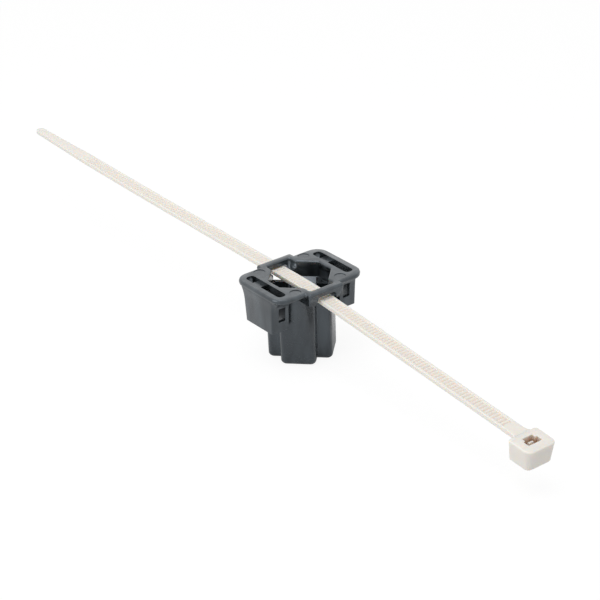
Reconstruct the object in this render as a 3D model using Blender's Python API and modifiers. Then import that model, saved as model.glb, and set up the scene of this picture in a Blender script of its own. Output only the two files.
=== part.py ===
"""Cable tie threaded through a push-on mount for a weld stud.

Two mouldings: the black nylon mount, which is pushed down over an M6 stud and
grips its thread, and the natural nylon tie that passes under the mount's two
bars. Metres, +Z up. The origin is on the stud's axis, in the plane of the
tower's foot; +X runs across the tie, from ear to ear, and +Y towards its tail.
"""
import math

import bmesh
import bpy
from mathutils import Matrix, Vector

MM = 0.001

# Driving sizes of the mount, in millimetres
MOUNT_HEIGHT = 25.3        # foot of the tower to the top of the ears
EAR_REACH = 15.75          # stud axis to the outer edge of an ear
EAR_HALF_LENGTH = 11.1     # half an ear, along the tie
EAR_CORNER = 4.0           # radius of an ear's outer corners
PLATE_THICKNESS = 1.6      # the ears' plate
PLATE_EDGE = 0.55          # rounding of the plate's rim

BRIDGE_HALF_WIDTH = 6.2    # the middle strip that carries the two bars
BRIDGE_REACH = 13.0        # stud axis to the outer face of a bar
BRIDGE_DEPTH = 3.8         # top of the ears to the lower edge of the strip
BAR_THICKNESS = 2.3        # a bar, along the tie
BRIDGE_CORNER = 0.6        # vertical rounding of the strip's corners

ARM_REACH = 9.75           # stud axis to the end of a tower arm, at the top
ARM_HALF_WIDTH = 5.4
ARM_WALL = 1.25            # wall of the tower's arms
ARM_CORNER = 1.4           # vertical rounding of the arms' outer corners
ARM_NOOK = 0.35            # vertical rounding between two arms
TOWER_DRAFT = 0.2          # how much the tower narrows from top to foot
FOOT_ROUNDING = 1.5        # rolled edge of the tower's foot
FOOT_FLOOR = 1.6           # floor of the tower, round the stud's hole
TOWER_TURN = 45.0          # arms lie between the tie and the ears, in degrees

STUD_RADIUS = 3.0          # an M6 weld stud
STUD_CLEARANCE = 0.35      # round the stud, in the tower's floor
STUD_LEAD_IN = 0.9         # countersink that finds the stud
PAWL_GRIP = 0.35           # how far the pawls' tips would bite into the thread
PAWL_HALF_WIDTH = 2.6
PAWL_TIP_HEIGHT = 18.4     # of the pawls' upper tip edge, above the foot
PAWL_ROOT_HEIGHT = 13.6    # where the pawls spring from the arms' ends
PAWL_THICKNESS = 1.3
PAWL_SEAT = 0.2            # how far a pawl's root runs into its wall
PAWL_TIP_DEPTH = 2.2       # the blunt end that meets the thread
PAWL_DIRECTIONS = (45.0, 225.0)      # turned from +Y towards -X

BOX_REACH = 15.4           # stud axis to the outer wall of an ear's box, at the top
BOX_HALF_LENGTH = 7.3      # half the box along the tie, at the top
BOX_DEPTH = 12.2           # top of the ears to the box's lower edge
BOX_WALL = 1.15
BOX_CORNER = 0.6
BOX_SIDE_DRAFT = 0.2       # the outer wall leans in this much towards the lower edge
BOX_END_DRAFT = 0.8        # and so do the end walls
BOX_SIDE_FLARE = 0.6       # how far the outer wall curves out to meet the rim
BOX_END_FLARE = 4.0        # how far the end walls curve out under the plate
FLARE_FROM = 1.2           # top of the ears to the start of those curves
FLARE_TO = 5.4             # and to their end
RIM_STEP = 0.1             # the box stays this far inside the rim
RIB_PLACE = 8.2            # the low rib between two arms, under the opening
RIB_WALL = 0.7
RIB_DEPTH = 2.5            # the rib's height, down from the well's floor
WINDOW_WIDTH = 2.3
WINDOW_HEIGHT = 4.4
WINDOW_DEPTH = 4.5         # top of the ears to the window's upper edge
WINDOW_PLACE = 11.75       # stud axis to the window's middle

SLOT_PLACE = 12.2          # stud axis to the middle of an ear's slot
SLOT_HALF_WIDTH = 1.4
SLOT_HALF_LENGTH = 8.4
SLOT_CORNER = 1.15         # rounding of the slot's corners
SLOT_RUN = 0.2             # how far the slot runs below the plate, into the box
SLOT_WEB_FROM = 2.1        # the sunk web across the slot, along the tie
SLOT_WEB_TO = 5.9
SLOT_WEB_SINK = 0.95       # top of the ears to the web's upper face
SLOT_WEB_DEPTH = 2.8       # and to its lower one
SLOT_WEB_SEAT = 0.3        # how far the web runs into the plate

OPENING_SIDE = 9.3         # the eight-sided opening: stud axis to its sides by the ears
OPENING_DIAGONAL = 8.6     # and to its slanting sides
OPENING_DEPTH = 2.2        # top of the ears to the ledge on the arms' end walls
OPENING_CORNER = 0.7
OPENING_LIP = 0.5          # rounding of the opening's upper edge
MOUTH_HALF_WIDTH = 4.3     # the opening's narrower ends, next to the two bars
MOUTH_SWEEP = 2.2          # soft corner between a slanting side and a narrower end
MOUTH_DEPTH = 3.2          # top of the ears to the floor of the narrower ends
WELL_DEPTH = 5.0           # top of the ears to the tower's walls inside the opening
SILL_DEPTH = 4.8           # top of the ears to the sill under the tie
WAY_HALF_WIDTH = 3.4       # the tie's opening through a bar
WAY_CORNER = 1.0
PAD_ACROSS = 8.1           # ejector pads beside the bars: place across the tie
PAD_ALONG = 8.75           # and along it
PAD_RADIUS = 1.75
PAD_SINK = 0.15

# Driving sizes of the tie, in millimetres
TIE_WIDTH = 4.6
TIE_THICKNESS = 1.3
TIE_TOP_DEPTH = 2.27       # top of the ears to where the upper faces of the first two legs would meet
TIE_SIDE_CLEARANCE = 0.35  # between the tie and the tower's sills, each side
TIE_SEAT_CLEARANCE = 0.3   # between the tie and the bars it bears against
HEAD_LEG_SLOPE = 0.092     # rise of the leg from the head
MIDDLE_SLOPE = 0.0107      # of the leg behind the mount
TAIL_LEG_SLOPE = 0.0213    # and of the leg that ends in the tail
BEND_PLACE = -5.7          # stud axis to the bend between the first two legs
BEND_LENGTH = 4.0          # how softly the tie turns there
TAIL_BEND_PLACE = 84.3     # stud axis to the bend between the last two
TAIL_BEND_LENGTH = 5.1
TAIL_REACH = 151.9         # stud axis to the tip of the tail
TAIL_TAPER = 34.0          # length over which the tail narrows
TAIL_TIP_WIDTH = 2.9
TAIL_TIP_FLAT = 0.1        # half the flat left between the tip's two corners
TAPER_SWEEP = 8.0          # radius where the sides turn into the taper
NECK_PLACE = 88.4          # stud axis to the last tooth, on the head's side
HEAD_PLACE = 93.6          # stud axis to the near face of the head
HEAD_LENGTH = 8.2
HEAD_WIDTH = 10.0
HEAD_HEIGHT = 6.1
HEAD_CORNER = 1.4
HEAD_NEAR_SHARE = 0.5      # corners and taper at the neck's end, as a share of the far end's
HEAD_TAPER = 0.55          # the head narrows this much to its lower face, each side
HEAD_EDGE = 0.4            # rounding of the head's lower rim
NECK_FLARE = 0.8           # how far the neck widens into the head, each side
NECK_LENGTH = 1.6          # over which it widens
NECK_SWEEP = 0.9           # radius of its hollow curve

TOOTH_PITCH = 1.27
TOOTH_DEPTH = 0.5
TOOTH_SINK = 0.05          # the crests lie this far below the rails
TOOTH_LAND = 0.25          # flat crest of a tooth
TOOTH_RISER = 0.12         # length along the tie of a tooth's steep flank
RAIL_WIDTH = 0.72          # smooth rail on each side of the teeth
LADDER_END = 118.4         # stud axis to the end of the teeth, towards the tail

LOCK_HALF_WIDTH = 2.55     # the passage through the head for the tail
LOCK_LENGTH = 2.1
LOCK_OFFSET = 4.6          # near face of the head to the middle of the passage
TONGUE_HALF_WIDTH = 1.55   # the locking tongue in the head
TONGUE_SIDE_CLEARANCE = 0.3
TONGUE_ROOM = 1.2          # room behind the tongue
TONGUE_ROOT = 1.0          # lower face of the head to the tongue's root
TONGUE_THICKNESS = 0.8
TONGUE_SEAT = 0.2          # how far the tongue's root runs into the head
TONGUE_REACH = 0.85        # how far the tongue leans into the passage
TONGUE_SINK = 0.9          # top of the head to the tongue's tip

FACE_STEP = 0.05           # least step between two faces, so that none meet flush
ROUND_STEPS = 5            # facets of a quarter turn
BAND_STEPS = 60            # stretches of the tie's arch
OVERCUT = 1.0              # how far a cutter runs past what it cuts

TOP = MOUNT_HEIGHT


def remove_scene_objects():
    """Empty the scene."""
    for item in list(bpy.data.objects):
        bpy.data.objects.remove(item, do_unlink=True)
    for group in list(bpy.data.collections):
        bpy.data.collections.remove(group)


def new_collection(name):
    """Make a collection in the scene."""
    group = bpy.data.collections.new(name)
    bpy.context.scene.collection.children.link(group)
    return group


def rounded(corners, radii, steps=ROUND_STEPS):
    """Return an outline with its corners turned into arcs; radii may be one number."""
    count = len(corners)
    if not isinstance(radii, (list, tuple)):
        radii = [radii] * count
    points = []
    for index, corner in enumerate(corners):
        here = Vector(corner)
        before = (Vector(corners[index - 1]) - here).normalized()
        after = (Vector(corners[(index + 1) % count]) - here).normalized()
        radius = radii[index]
        if radius <= 0.0:
            points.append(tuple(here))
            continue
        half = before.angle(after) / 2.0
        reach = radius / math.tan(half)
        centre = here + (before + after).normalized() * (radius / math.sin(half))
        start = here + before * reach - centre
        sweep = math.pi - 2.0 * half
        if before.cross(after) > 0.0:
            sweep = -sweep
        for step in range(steps + 1):
            angle = sweep * step / steps
            turn = Matrix.Rotation(angle, 2)
            points.append(tuple(centre + turn @ start))
    return points


def rectangle(x0, x1, y0, y1):
    """Return a rectangle's corners, anticlockwise."""
    return [(x0, y0), (x1, y0), (x1, y1), (x0, y1)]


def mesh_object(name, mesh, group):
    """Link a mesh as an object."""
    item = bpy.data.objects.new(name, mesh)
    group.objects.link(item)
    return item


def prism(name, outline, low, high, group, along="Z"):
    """Extrude a flat outline from low to high along an axis, all in millimetres.

    The outline lies in XY for Z, in YZ for X, and in -XZ for Y.
    """
    turns = {
        "Z": Matrix.Identity(4),
        "X": Matrix(((0, 0, 1, 0), (1, 0, 0, 0), (0, 1, 0, 0), (0, 0, 0, 1))),
        "Y": Matrix(((-1, 0, 0, 0), (0, 0, 1, 0), (0, 1, 0, 0), (0, 0, 0, 1))),
    }
    curve = bpy.data.curves.new(name, "CURVE")
    curve.dimensions = "2D"
    curve.fill_mode = "BOTH"
    curve.extrude = (high - low) / 2.0
    spline = curve.splines.new("POLY")
    spline.points.add(len(outline) - 1)
    for point, (u, v) in zip(spline.points, outline):
        point.co = (u, v, 0.0, 1.0)
    spline.use_cyclic_u = True
    drawn = bpy.data.objects.new(name + "_outline", curve)
    group.objects.link(drawn)
    bpy.context.view_layer.update()
    evaluated = drawn.evaluated_get(bpy.context.evaluated_depsgraph_get())
    mesh = bpy.data.meshes.new_from_object(evaluated)
    mesh.name = name
    place = turns[along] @ Matrix.Translation((0.0, 0.0, (low + high) / 2.0))
    shape = bmesh.new()
    shape.from_mesh(mesh)
    bmesh.ops.remove_doubles(shape, verts=shape.verts, dist=0.0001)
    shape.transform(Matrix.Scale(MM, 4) @ place)
    shape.to_mesh(mesh)
    shape.free()
    bpy.data.objects.remove(drawn, do_unlink=True)
    bpy.data.curves.remove(curve)
    return mesh_object(name, mesh, group)


def long_prism(name, outline, low, high, group):
    """Extrude an outline of many points, in YZ, along X: one face that is then drawn out.

    A filled curve leaves gaps on an outline this long.
    """
    shape = bmesh.new()
    face = shape.faces.new([shape.verts.new((low * MM, y * MM, z * MM)) for y, z in outline])
    drawn = bmesh.ops.extrude_face_region(shape, geom=[face])
    moved = [item for item in drawn["geom"] if isinstance(item, bmesh.types.BMVert)]
    bmesh.ops.translate(shape, verts=moved, vec=((high - low) * MM, 0.0, 0.0))
    bmesh.ops.recalc_face_normals(shape, faces=shape.faces)
    mesh = bpy.data.meshes.new(name)
    shape.to_mesh(mesh)
    shape.free()
    return mesh_object(name, mesh, group)


def loft(name, sections, group):
    """Join rings of equal count, each (height, outline), by walls, and close both ends."""
    shape = bmesh.new()
    rings = []
    for height, outline in sections:
        rings.append([shape.verts.new((x * MM, y * MM, height * MM)) for x, y in outline])
    for lower, upper in zip(rings, rings[1:]):
        for index in range(len(lower)):
            after = (index + 1) % len(lower)
            shape.faces.new((lower[index], lower[after], upper[after], upper[index]))
    shape.faces.new(list(reversed(rings[0])))
    shape.faces.new(rings[-1])
    bmesh.ops.recalc_face_normals(shape, faces=shape.faces)
    mesh = bpy.data.meshes.new(name)
    shape.to_mesh(mesh)
    shape.free()
    return mesh_object(name, mesh, group)


def apply_modifiers(item):
    """Replace an object's mesh by its evaluated one."""
    bpy.context.view_layer.update()
    evaluated = item.evaluated_get(bpy.context.evaluated_depsgraph_get())
    mesh = bpy.data.meshes.new_from_object(evaluated)
    item.modifiers.clear()
    item.data = mesh


def combine(target, other, operation):
    """Join, cut or intersect the target with another object, which is then removed."""
    step = target.modifiers.new(operation.lower(), "BOOLEAN")
    step.operation = operation
    step.solver = "EXACT"
    step.object = other
    apply_modifiers(target)
    bpy.data.objects.remove(other, do_unlink=True)


def cut(target, *cutters):
    """Cut the target by each cutter."""
    for cutter in cutters:
        combine(target, cutter, "DIFFERENCE")


def join(target, *others):
    """Join each object to the target."""
    for other in others:
        combine(target, other, "UNION")


def merge_flat_faces(item):
    """Merge the faces that lie in one plane, so that a bevel follows the true edges only."""
    shape = bmesh.new()
    shape.from_mesh(item.data)
    bmesh.ops.dissolve_limit(shape, angle_limit=math.radians(1.0), verts=shape.verts, edges=shape.edges)
    shape.to_mesh(item.data)
    shape.free()


def soften(item, width, angle=50.0, segments=2):
    """Round an object's sharp edges, then apply."""
    bevel = item.modifiers.new("edges", "BEVEL")
    bevel.width = width * MM
    bevel.segments = segments
    bevel.limit_method = "ANGLE"
    bevel.angle_limit = math.radians(angle)
    bevel.use_clamp_overlap = True
    apply_modifiers(item)


def cross_outline(reach, half_width, corner, nook):
    """Return the tower's plan: a cross of four equal arms, turned between the axes."""
    corners = []
    radii = []
    for quarter in range(4):
        turn = Matrix.Rotation(math.radians(TOWER_TURN + 90.0 * quarter), 2)
        for point, radius in (((half_width, -half_width), nook), ((reach, -half_width), corner),
                              ((reach, half_width), corner)):
            corners.append(tuple(turn @ Vector(point)))
            radii.append(radius)
    return rounded(corners, radii)


def tower_section(inset, height):
    """Return the tower's outer plan at a height, pulled in by its draft and by an inset."""
    draft = TOWER_DRAFT * (1.0 - height / MOUNT_HEIGHT)
    shrink = draft + inset
    corner = max(ARM_CORNER - 0.5 * inset, 0.3)
    return cross_outline(ARM_REACH - shrink, ARM_HALF_WIDTH - shrink, corner, ARM_NOOK + 0.5 * inset)


def make_tower(group):
    """Make the solid tower: a drafted cross with a rolled lower edge."""
    sections = []
    for step in range(ROUND_STEPS + 1):
        angle = math.radians(90.0) * step / ROUND_STEPS
        height = FOOT_ROUNDING * (1.0 - math.cos(angle))
        inset = FOOT_ROUNDING * (1.0 - math.sin(angle))
        sections.append((height, tower_section(inset, height)))
    top = TOP - PLATE_THICKNESS / 2.0
    sections.append((top, tower_section(0.0, top)))
    return loft("tower", sections, group)


def make_plate(group):
    """Make the ears and the middle strip as one plate with a rounded rim."""
    ears = rounded(rectangle(-EAR_REACH, EAR_REACH, -EAR_HALF_LENGTH, EAR_HALF_LENGTH), EAR_CORNER)
    strip = rounded(rectangle(-BRIDGE_HALF_WIDTH, BRIDGE_HALF_WIDTH, -BRIDGE_REACH, BRIDGE_REACH), BRIDGE_CORNER)
    plate = prism("plate", ears, TOP - PLATE_THICKNESS, TOP, group)
    join(plate, prism("strip", strip, TOP - PLATE_THICKNESS, TOP, group))
    merge_flat_faces(plate)
    soften(plate, PLATE_EDGE, angle=60.0)
    return plate


def make_bridge(group):
    """Make the block under the middle strip that the two bars are cut from."""
    reach = BRIDGE_REACH - FACE_STEP
    half = BRIDGE_HALF_WIDTH - FACE_STEP
    outline = rounded(rectangle(-half, half, -reach, reach), BRIDGE_CORNER)
    return prism("bridge", outline, TOP - BRIDGE_DEPTH, TOP - PLATE_THICKNESS / 2.0, group)


def box_section(side, depth, curve, wall):
    """Return an ear box's plan at a depth, its walls curved out by a share from 0 to 1.

    With no wall this is the box's outside, and with one it is the hollow inside it.
    """
    share = depth / BOX_DEPTH
    reach = min(BOX_REACH - BOX_SIDE_DRAFT * share + BOX_SIDE_FLARE * curve, EAR_REACH - RIM_STEP) - wall
    half = min(BOX_HALF_LENGTH - BOX_END_DRAFT * share + BOX_END_FLARE * curve, EAR_HALF_LENGTH - RIM_STEP) - wall
    if wall > 0.0:
        reach = min(reach, BOX_REACH - BOX_SIDE_DRAFT - wall)
    corner = BOX_CORNER + BOX_END_FLARE * curve * (wall == 0.0)
    corners = rectangle(OPENING_SIDE + wall, reach, -half, half)
    outline = rounded(corners, [0.0, corner, corner, 0.0])
    if side < 0:
        outline = [(-x, y) for x, y in reversed(outline)]
    return outline


def flared_loft(name, side, wall, foot, roof, group):
    """Loft an ear box's outside or its hollow, from a foot to a roof depth, through the flare."""
    sections = [(TOP - foot, box_section(side, foot, 0.0, wall))]
    for step in range(ROUND_STEPS + 1):
        angle = math.radians(90.0) * step / ROUND_STEPS
        depth = FLARE_TO - (FLARE_TO - FLARE_FROM) * math.sin(angle)
        if depth > roof:
            sections.append((TOP - depth, box_section(side, depth, 1.0 - math.cos(angle), wall)))
            last = angle
    sections.append((TOP - roof, box_section(side, roof, 1.0 - math.cos(last), wall)))
    return loft(name, sections, group)


def make_box(side, group):
    """Make one ear's box: a drafted shell, open below, whose walls sweep out into the plate."""
    box = flared_loft("box", side, 0.0, BOX_DEPTH, PLATE_THICKNESS / 2.0, group)
    cut(box, flared_loft("box_hollow", side, BOX_WALL, BOX_DEPTH + OVERCUT, PLATE_THICKNESS + FACE_STEP, group))
    return box


def make_rib(side, group):
    """Make the low rib that ties two arms together under the opening."""
    half = RIB_PLACE + RIB_WALL - (ARM_HALF_WIDTH - ARM_WALL) * math.sqrt(2.0)
    corners = [(side * x, y) for x, y in rectangle(RIB_PLACE, RIB_PLACE + RIB_WALL, -half, half)]
    return prism("rib", corners, TOP - WELL_DEPTH - RIB_DEPTH, TOP - WELL_DEPTH / 2.0, group)


def make_cavity(group):
    """Make the cutter for the tower's inside, a cross one wall smaller."""
    sections = []
    for height in (FOOT_FLOOR, TOP - OPENING_DEPTH / 2.0):
        shrink = TOWER_DRAFT * (1.0 - height / MOUNT_HEIGHT) + ARM_WALL
        corner = ARM_CORNER - ARM_WALL / 2.0
        nook = ARM_NOOK + ARM_WALL / 2.0
        sections.append((height, cross_outline(ARM_REACH - shrink, ARM_HALF_WIDTH - shrink, corner, nook)))
    return loft("cavity", sections, group)


def opening_outline(grow):
    """Return the plan of the opening between the ears, grown outwards by a distance."""
    side = OPENING_SIDE + grow
    slant = (OPENING_DIAGONAL + grow) * math.sqrt(2.0)
    mouth = MOUTH_HALF_WIDTH + grow
    end = BRIDGE_REACH - BAR_THICKNESS + grow
    corners = [
        (side, side - slant), (side, slant - side), (mouth, slant - mouth), (mouth, end),
        (-mouth, end), (-mouth, slant - mouth), (-side, slant - side), (-side, side - slant),
        (-mouth, mouth - slant), (-mouth, -end), (mouth, -end), (mouth, mouth - slant),
    ]
    corner = OPENING_CORNER + grow
    sweep = MOUTH_SWEEP - grow
    return rounded(corners, [corner, corner, sweep, corner, corner, sweep] * 2)


def make_opening(group):
    """Make the cutter for the eight-sided opening, whose upper edge it rounds."""
    sections = [(TOP - OPENING_DEPTH, opening_outline(0.0))]
    for step in range(ROUND_STEPS + 1):
        angle = math.radians(90.0) * step / ROUND_STEPS
        depth = OPENING_LIP * (1.0 - math.sin(angle))
        sections.append((TOP - depth, opening_outline(OPENING_LIP * (1.0 - math.cos(angle)))))
    sections.append((TOP + OVERCUT, opening_outline(OPENING_LIP)))
    return loft("opening", sections, group)


def make_mouth(group):
    """Make the cutter that deepens the opening's narrower ends, next to the bars."""
    half = MOUTH_HALF_WIDTH - FACE_STEP
    end = BRIDGE_REACH - BAR_THICKNESS - FACE_STEP
    outline = rounded(rectangle(-half, half, -end, end), OPENING_CORNER)
    return prism("mouth", outline, TOP - MOUTH_DEPTH, TOP - OPENING_DEPTH / 2.0, group)


def make_well(side, group):
    """Make the cutter that lowers the tower's walls inside the opening, beside the tie."""
    inner = TIE_WIDTH / 2.0 + TIE_SIDE_CLEARANCE - FACE_STEP
    outer = OPENING_SIDE + FACE_STEP
    slant = (OPENING_DIAGONAL + FACE_STEP) * math.sqrt(2.0)
    corners = [(inner, inner - slant), (outer, outer - slant), (outer, slant - outer), (inner, slant - inner)]
    if side < 0:
        corners = [(-x, y) for x, y in reversed(corners)]
    return prism("well", corners, TOP - WELL_DEPTH, TOP - OPENING_DEPTH + FACE_STEP, group)


def bend(distance, length):
    """Return how far a slope that sets in softly at nought has risen: a soft ramp."""
    return max(distance, 0.0) + length * math.log1p(math.exp(-abs(distance) / length))


def tie_top(y):
    """Return the height of the tie's upper face above the foot, at a place along it.

    Three straight legs with a soft bend between each two.
    """
    first = TOP - TIE_TOP_DEPTH + HEAD_LEG_SLOPE * (y - BEND_PLACE)
    second = (MIDDLE_SLOPE - HEAD_LEG_SLOPE) * bend(y - BEND_PLACE, BEND_LENGTH)
    third = (TAIL_LEG_SLOPE - MIDDLE_SLOPE) * bend(y - TAIL_BEND_PLACE, TAIL_BEND_LENGTH)
    return first + second + third


def make_sill_cut(group):
    """Make the cutter for the trough under the tie, from bar to bar."""
    reach = BRIDGE_REACH - BAR_THICKNESS / 2.0
    half = TIE_WIDTH / 2.0 + TIE_SIDE_CLEARANCE
    return prism("sills", rectangle(-half, half, -reach, reach), TOP - SILL_DEPTH, TOP - OPENING_DEPTH, group)


def make_tie_way(end, group):
    """Make the cutter for the tie's way through one bar, open below."""
    inner = BRIDGE_REACH - BAR_THICKNESS - 2.0 * FACE_STEP
    outer = BRIDGE_REACH + OVERCUT
    roof = tie_top(BRIDGE_REACH) + TIE_SEAT_CLEARANCE
    corners = rectangle(-WAY_HALF_WIDTH, WAY_HALF_WIDTH, TOP - BRIDGE_DEPTH - OVERCUT / 2.0, roof)
    outline = rounded(corners, [0.0, 0.0, WAY_CORNER, WAY_CORNER])
    return prism("tie_way", outline, min(end * inner, end * outer), max(end * inner, end * outer), group, along="Y")


def make_pad(side, end, group):
    """Make the cutter for one shallow ejector pad beside a bar."""
    centre = Vector((side * PAD_ACROSS, end * PAD_ALONG))
    square = rectangle(centre.x - PAD_RADIUS, centre.x + PAD_RADIUS, centre.y - PAD_RADIUS, centre.y + PAD_RADIUS)
    return prism("pad", rounded(square, PAD_RADIUS - MM), TOP - PAD_SINK, TOP + OVERCUT, group)


def make_slot(side, group):
    """Make the cutter for an ear's long slot."""
    x0 = side * SLOT_PLACE - SLOT_HALF_WIDTH
    x1 = side * SLOT_PLACE + SLOT_HALF_WIDTH
    outline = rounded(rectangle(x0, x1, -SLOT_HALF_LENGTH, SLOT_HALF_LENGTH), SLOT_CORNER)
    return prism("slot", outline, TOP - PLATE_THICKNESS - SLOT_RUN, TOP + OVERCUT, group)


def make_web(side, group):
    """Make the sunk web that crosses an ear's slot, let into the plate on both sides."""
    x0 = side * SLOT_PLACE - SLOT_HALF_WIDTH - SLOT_WEB_SEAT
    x1 = side * SLOT_PLACE + SLOT_HALF_WIDTH + SLOT_WEB_SEAT
    corners = rectangle(x0, x1, SLOT_WEB_FROM, SLOT_WEB_TO)
    return prism("web", corners, TOP - SLOT_WEB_DEPTH, TOP - SLOT_WEB_SINK, group)


def make_windows(side, group):
    """Make the cutter for the windows in both end walls of an ear's box."""
    x0 = side * WINDOW_PLACE - WINDOW_WIDTH / 2.0
    x1 = side * WINDOW_PLACE + WINDOW_WIDTH / 2.0
    reach = BOX_HALF_LENGTH + OVERCUT
    high = TOP - WINDOW_DEPTH
    return prism("windows", rectangle(x0, x1, -reach, reach), high - WINDOW_HEIGHT, high, group)


def make_stud_hole(group):
    """Make the cutter for the stud's hole with its lead-in."""
    hole = STUD_RADIUS + STUD_CLEARANCE
    profile = bpy.data.meshes.new("stud_hole")
    points = [
        (0.0, FOOT_FLOOR + OVERCUT), (hole, FOOT_FLOOR + OVERCUT), (hole, STUD_LEAD_IN),
        (hole + STUD_LEAD_IN + OVERCUT, -OVERCUT), (0.0, -OVERCUT),
    ]
    verts = [(radius * MM, 0.0, height * MM) for radius, height in points]
    edges = [(index, index + 1) for index in range(len(points) - 1)]
    profile.from_pydata(verts, edges, [])
    item = mesh_object("stud_hole", profile, group)
    screw = item.modifiers.new("turn", "SCREW")
    screw.steps = 32
    screw.render_steps = 32
    screw.use_merge_vertices = True
    screw.merge_threshold = 0.00001
    apply_modifiers(item)
    return item


def make_pawl(direction, group):
    """Make one stud pawl: a tongue that leans up and inwards from an arm's end wall."""
    tip = STUD_RADIUS - PAWL_GRIP
    root = ARM_REACH - ARM_WALL + PAWL_SEAT
    low = PAWL_ROOT_HEIGHT
    high = PAWL_TIP_HEIGHT
    outline = [
        (tip, high - PAWL_TIP_DEPTH), (tip, high), (tip + PAWL_THICKNESS, high), (root, low + PAWL_THICKNESS),
        (root, low - PAWL_THICKNESS), (root - PAWL_THICKNESS, low - PAWL_THICKNESS),
    ]
    pawl = prism("pawl", outline, -PAWL_HALF_WIDTH, PAWL_HALF_WIDTH, group, along="X")
    pawl.data.transform(Matrix.Rotation(math.radians(direction), 4, "Z"))
    return pawl


def make_mount(parts, tools):
    """Build the stud mount."""
    mount = make_plate(parts)
    mount.name = "stud_mount"
    join(mount, make_tower(tools), make_bridge(tools))
    for side in (-1, 1):
        join(mount, make_box(side, tools))
        join(mount, make_rib(side, tools))
    cut(mount, make_cavity(tools), make_opening(tools), make_mouth(tools))
    cut(mount, make_tie_way(-1, tools), make_tie_way(1, tools), make_sill_cut(tools), make_stud_hole(tools))
    for side in (-1, 1):
        cut(mount, make_well(side, tools), make_slot(side, tools), make_windows(side, tools))
        for end in (-1, 1):
            cut(mount, make_pad(side, end, tools))
    for side in (-1, 1):
        join(mount, make_web(side, tools))
    for direction in PAWL_DIRECTIONS:
        join(mount, make_pawl(direction, tools))
    return mount


def tie_band(name, from_y, to_y, group, half_width, steps):
    """Make a band of the tie's thickness that follows its run."""
    upper = []
    lower = []
    for step in range(steps + 1):
        y = from_y + (to_y - from_y) * step / steps
        upper.append((y, tie_top(y)))
        lower.append((y, tie_top(y) - TIE_THICKNESS))
    return prism(name, lower + list(reversed(upper)), -half_width, half_width, group, along="X")


def tie_plan():
    """Return the tie's plan outline without its head."""
    half = TIE_WIDTH / 2.0
    tip = TAIL_TIP_WIDTH / 2.0
    start = -HEAD_PLACE - OVERCUT
    neck = -HEAD_PLACE + NECK_LENGTH
    taper = TAIL_REACH - TAIL_TAPER
    flare = half + NECK_FLARE
    corners = [
        (-flare, start), (flare, start), (half, neck), (half, taper),
        (tip, TAIL_REACH), (-tip, TAIL_REACH), (-half, taper), (-half, neck),
    ]
    end = tip - TAIL_TIP_FLAT
    return rounded(corners, [0.0, 0.0, NECK_SWEEP, TAPER_SWEEP, end, end, TAPER_SWEEP, NECK_SWEEP])


def make_ladder(group):
    """Make the cutter whose saw-toothed floor leaves the tie's teeth."""
    start = -NECK_PLACE
    count = int((LADDER_END + NECK_PLACE) / TOOTH_PITCH)
    floor = []
    for index in range(count):
        y = start + index * TOOTH_PITCH
        crest = y + TOOTH_PITCH - TOOTH_LAND
        floor.append((y, tie_top(y) - TOOTH_SINK))
        floor.append((y + TOOTH_RISER, tie_top(y) - TOOTH_DEPTH))
        floor.append((crest, tie_top(crest) - TOOTH_SINK))
    end = start + count * TOOTH_PITCH
    floor.append((end, tie_top(end) - TOOTH_SINK))
    roof = [(y, tie_top(y) + TIE_THICKNESS) for y in (end, 0.0, start)]
    half = TIE_WIDTH / 2.0 - RAIL_WIDTH
    return long_prism("ladder", floor + roof, -half, half, group)


def head_frame():
    """Return the matrix that sets the head's own axes at the end of the tie, a step above its face."""
    slope = math.atan(HEAD_LEG_SLOPE)
    place = Vector((0.0, -HEAD_PLACE * MM, (tie_top(-HEAD_PLACE) + FACE_STEP) * MM))
    return Matrix.Translation(place) @ Matrix.Rotation(slope, 4, "X")


def make_head(group):
    """Make the head: a tapered block with a passage and a locking tongue, at its own origin."""
    half = HEAD_WIDTH / 2.0
    near_corner = HEAD_CORNER * HEAD_NEAR_SHARE
    sections = []
    for height, inset in ((-HEAD_HEIGHT, HEAD_TAPER + HEAD_EDGE), (-HEAD_HEIGHT + HEAD_EDGE, HEAD_TAPER),
                          (-HEAD_EDGE, 0.0), (0.0, HEAD_EDGE)):
        corners = rectangle(-half + inset, half - inset, -HEAD_LENGTH + inset, -inset * HEAD_NEAR_SHARE)
        sections.append((height, rounded(corners, [HEAD_CORNER, HEAD_CORNER, near_corner, near_corner])))
    head = loft("head", sections, group)
    near = -LOCK_OFFSET + LOCK_LENGTH / 2.0
    far = -LOCK_OFFSET - LOCK_LENGTH / 2.0
    back = near + TONGUE_ROOM
    across = TONGUE_HALF_WIDTH + TONGUE_SIDE_CLEARANCE
    passage = prism("passage", rectangle(-LOCK_HALF_WIDTH, LOCK_HALF_WIDTH, far, near),
                    -HEAD_HEIGHT - OVERCUT, OVERCUT, group)
    room = prism("tongue_room", rectangle(-across, across, -LOCK_OFFSET, back), -HEAD_HEIGHT + TONGUE_ROOT,
                 OVERCUT / 2.0, group)
    cut(head, passage, room)
    low = -HEAD_HEIGHT + TONGUE_ROOT
    tip = near - TONGUE_REACH
    outline = [
        (back + TONGUE_SEAT, low - TONGUE_SEAT), (near - TONGUE_SEAT, low - TONGUE_SEAT),
        (tip, -TONGUE_SINK - TONGUE_THICKNESS), (tip, -TONGUE_SINK), (tip + TONGUE_THICKNESS, -TONGUE_SINK),
        (back, low + TONGUE_THICKNESS), (back + TONGUE_SEAT, low + TONGUE_THICKNESS),
    ]
    join(head, prism("tongue", outline, -TONGUE_HALF_WIDTH, TONGUE_HALF_WIDTH, group, along="X"))
    return head


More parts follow.
